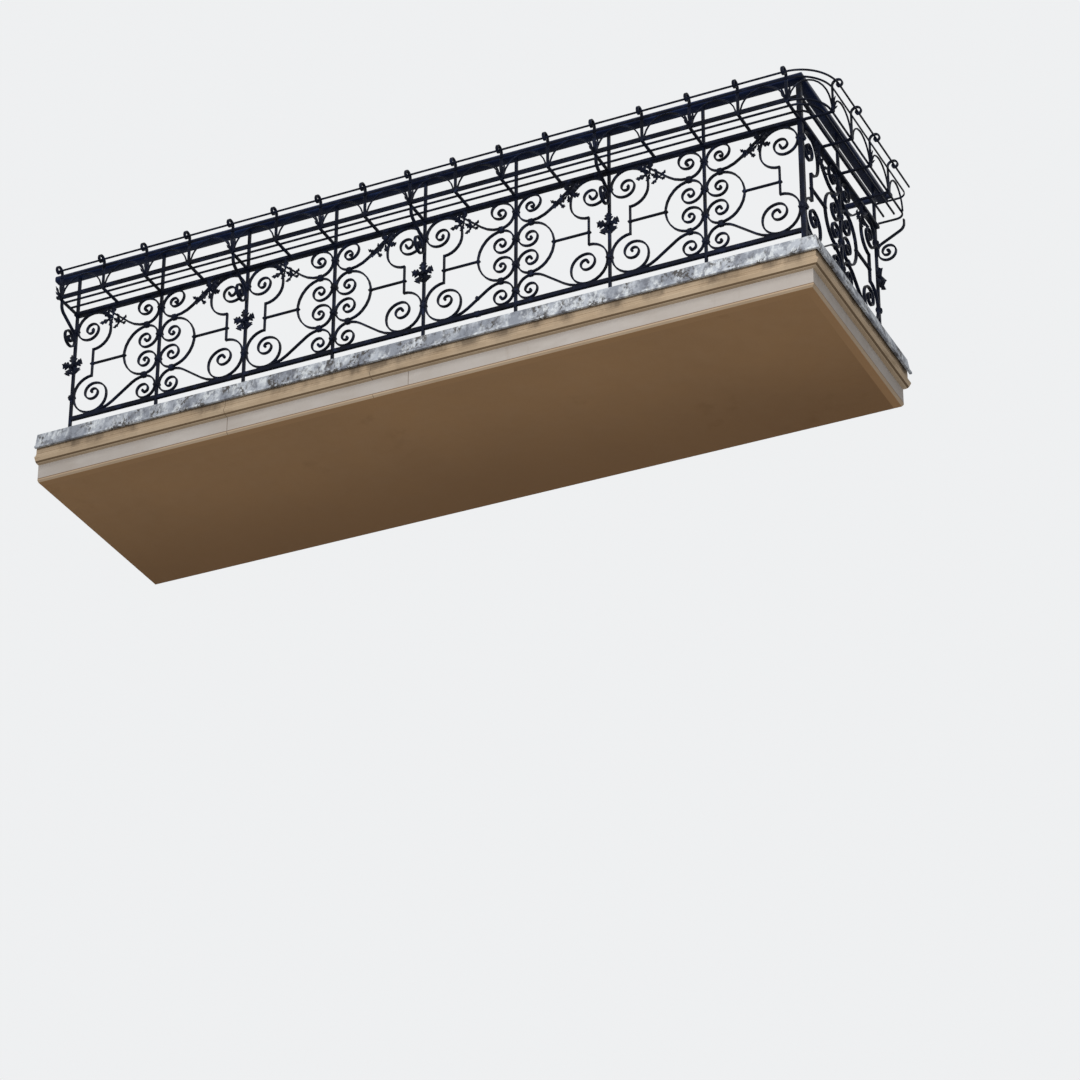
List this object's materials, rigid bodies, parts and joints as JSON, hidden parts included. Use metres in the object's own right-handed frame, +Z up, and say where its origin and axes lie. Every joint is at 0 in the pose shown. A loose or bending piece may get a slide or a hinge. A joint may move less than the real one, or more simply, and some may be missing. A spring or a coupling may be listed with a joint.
{
  "type": "wrought iron balcony",
  "caption": "Cantilevered balcony slab with moulded edges, a scrollwork iron railing and an outboard flower basket with arches and rolled curls.",
  "frame": {"origin": "centre of the slab's flat back face, where the slab meets the wall", "axes": "+Z up, +Y into the wall, +X along the facade towards the railed free end"},
  "size_m": [4.7075, 1.4515, 1.357],
  "materials": {
    "iron": "dark blue-black paint, slightly worn",
    "handrail": "dark navy gloss paint",
    "zinc": "weathered grey sheet metal",
    "ochre": "painted render, ochre",
    "pale": "painted render, pale beige",
    "soffit": "painted render, brown"
  },
  "bodies": {
    "root": {"bead": "ochre", "bottom_rail": "iron", "brackets": "iron", "capping": "zinc", "corner_post": "iron", "cornice": "ochre", "curl_rod": "iron", "edge_rail": "iron", "fascia": "pale", "floor_rod_1": "iron", "floor_rod_2": "iron", "front_arches": "iron", "front_floor_bars": "iron", "front_panel_1": "iron", "front_panel_2": "iron", "front_panel_3": "iron", "front_panel_4": "iron", "front_panel_5": "iron", "front_panel_6": "iron", "front_panel_7": "iron", "front_panel_8": "iron", "front_posts": "iron", "front_uprights": "iron", "guard_rail": "iron", "handrail": "handrail", "middle_rail": "iron", "rosettes": "iron", "side_arches": "iron", "side_floor_bars": "iron", "side_panel_1": "iron", "side_panel_2": "iron", "side_posts": "iron", "side_uprights": "iron", "slab": "soffit", "top_rail": "iron"}
  },
  "joints": []
}
